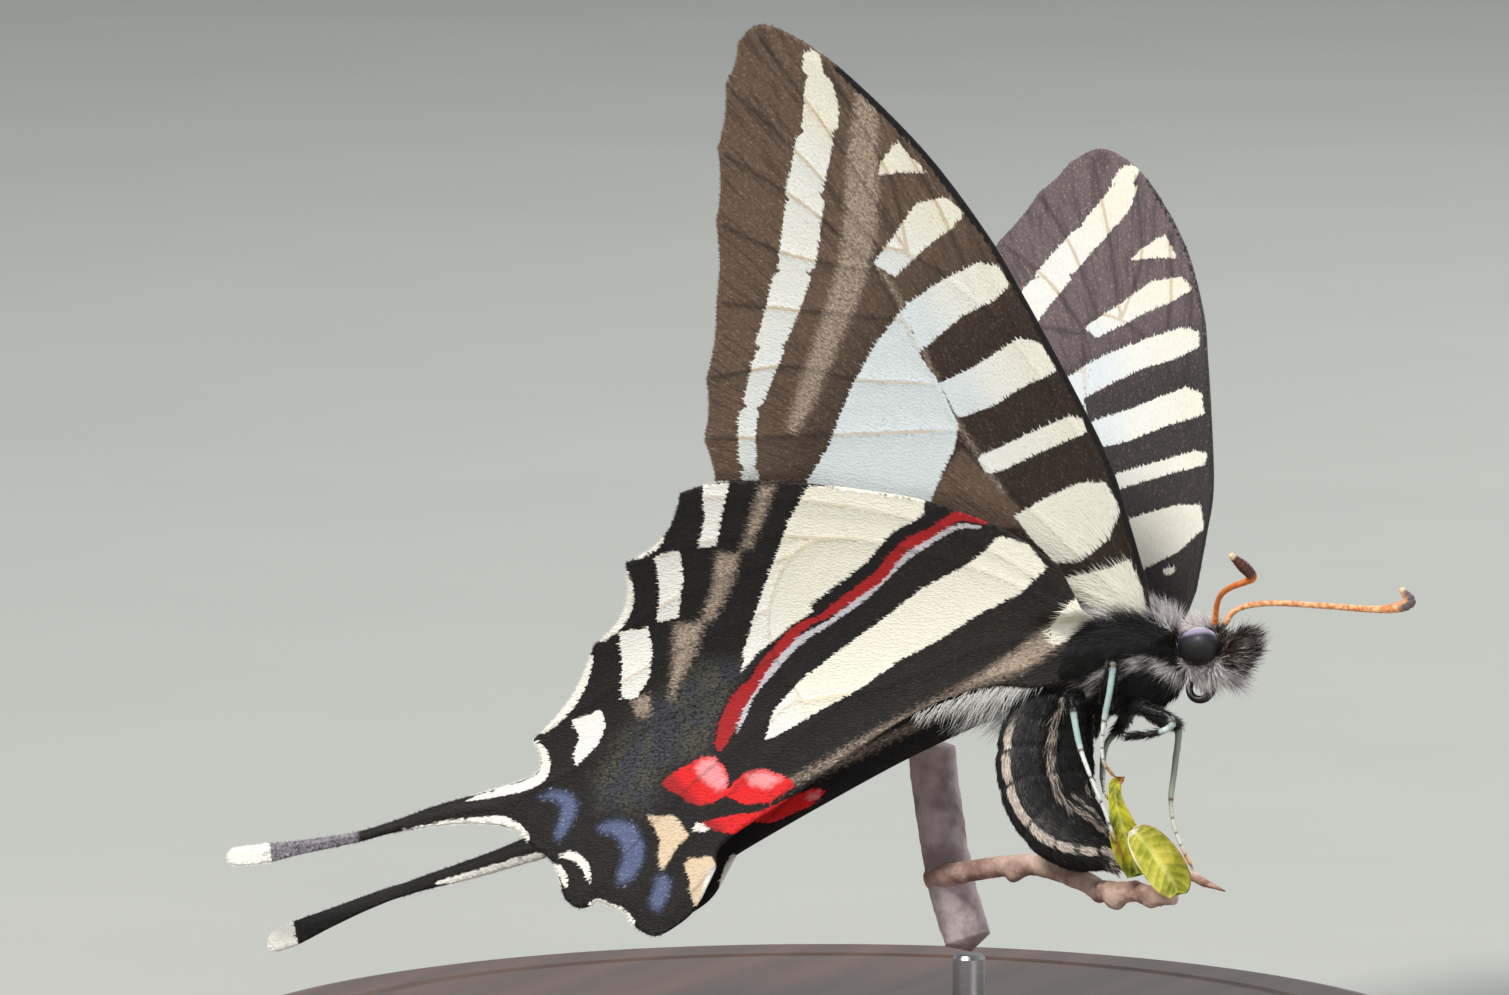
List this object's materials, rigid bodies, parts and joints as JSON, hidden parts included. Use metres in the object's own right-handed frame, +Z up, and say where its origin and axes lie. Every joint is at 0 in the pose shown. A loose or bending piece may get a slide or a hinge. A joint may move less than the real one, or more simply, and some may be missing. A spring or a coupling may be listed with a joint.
{
  "type": "zebra swallowtail butterfly",
  "caption": "Life-size zebra swallowtail butterfly, wings half open and long-tailed, laying on a leaf bud of a cut twig held by a turned display stand",
  "frame": {"origin": "Centre of the flat underside of the stand's round base", "axes": "+Z up, +X the way the butterfly's head points, +Y to its left"},
  "size_m": [0.072, 0.072, 0.062],
  "materials": {
    "body_hair": "black and grey-white hair",
    "eye": "glossy blue-black",
    "proboscis": "dark brown, satin",
    "antenna": "orange-brown, satin",
    "wing": "scaled, cream and brown-black bands",
    "leg": "pale bluish white, orange joints",
    "bark": "grey-brown bark",
    "bud_leaf": "yellow-green young leaf",
    "stand_wood": "dark stained and waxed",
    "stand_steel": "brushed"
  },
  "bodies": {
    "root": {"head": "body_hair", "palp_left": "body_hair", "palp_right": "body_hair", "eye_left": "eye", "eye_right": "eye", "proboscis": "proboscis", "antenna_left": "antenna", "antenna_right": "antenna", "thorax": "body_hair", "abdomen_front": "body_hair", "abdomen_middle": "body_hair", "abdomen_tip": "body_hair", "forewing_left": "wing", "forewing_right": "wing", "hindwing_left": "wing", "hindwing_right": "wing", "leg_front_left": "leg", "leg_front_right": "leg", "leg_middle_left": "leg", "leg_middle_right": "leg", "leg_hind_left": "leg", "leg_hind_right": "leg", "perch_stem": "bark", "perch_twig": "bark", "perch_knob": "bark", "perch_scale": "bark", "perch_leaf_front": "bud_leaf", "perch_leaf_rear": "bud_leaf", "stand_base": "stand_wood", "stand_rod": "stand_steel"}
  },
  "joints": []
}
